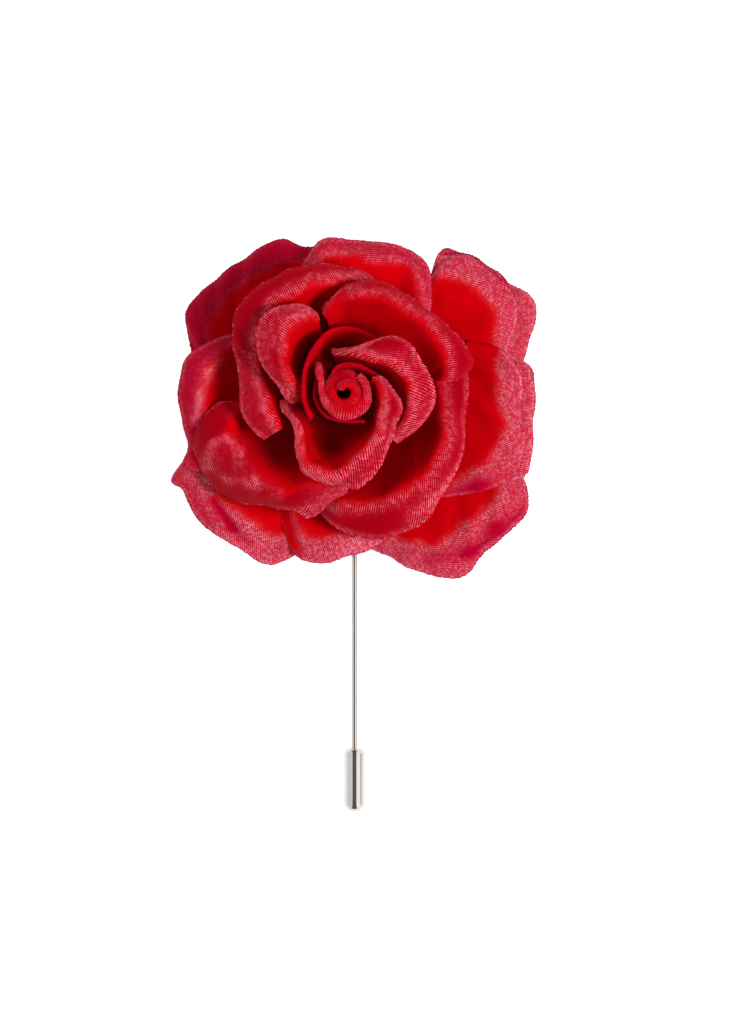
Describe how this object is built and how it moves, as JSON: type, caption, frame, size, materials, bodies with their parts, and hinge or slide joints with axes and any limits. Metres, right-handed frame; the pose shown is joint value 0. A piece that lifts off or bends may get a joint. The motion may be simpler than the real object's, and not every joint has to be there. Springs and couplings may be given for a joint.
{
  "type": "flower lapel pin",
  "caption": "Lapel pin with a red cloth rose of layered ruffled petals on a round base, a straight needle and a rounded clutch that slides off its point.",
  "frame": {"origin": "centre of the base's flat round back face, which lies on the table", "axes": "+Z out of the flower's front, -Y along the needle towards its clutch, +X to the right seen from the front"},
  "size_m": [0.0691, 0.109, 0.0296],
  "materials": {
    "outer_cloth": "ribbed satin",
    "second_cloth": "ribbed satin",
    "middle_cloth": "ribbed satin",
    "inner_cloth": "ribbed satin",
    "bud_cloth": "ribbed satin",
    "base_felt": "felt",
    "needle_metal": "polished",
    "clutch_metal": "polished"
  },
  "bodies": {
    "flower": {"flower_base": "base_felt", "outer_petal_upper_left": "outer_cloth", "outer_petal_upper_right": "outer_cloth", "outer_petal_right": "outer_cloth", "outer_petal_lower_right": "outer_cloth", "outer_petal_lower_left": "outer_cloth", "second_petal_top": "second_cloth", "second_petal_upper_right": "second_cloth", "second_petal_right": "second_cloth", "second_petal_bottom": "second_cloth", "second_petal_left": "second_cloth", "middle_petal_upper_left": "middle_cloth", "middle_petal_left": "middle_cloth", "middle_petal_lower_left": "middle_cloth", "middle_petal_lower_right": "middle_cloth", "middle_petal_top": "middle_cloth", "inner_petal_left": "inner_cloth", "inner_petal_right": "inner_cloth", "inner_petal_bottom": "inner_cloth", "bud_wrap_outer": "bud_cloth", "bud_wrap_second": "bud_cloth", "bud_wrap_third": "bud_cloth", "bud_wrap_inner": "bud_cloth", "bud_roll": "bud_cloth", "needle": "needle_metal"},
    "clutch": {"clutch": "clutch_metal"}
  },
  "joints": [
    {"name": "clutch_slide", "type": "slide", "parent": "flower", "child": "clutch", "axis": [0, -1, 0], "range_m": [0, 0.03]}
  ]
}
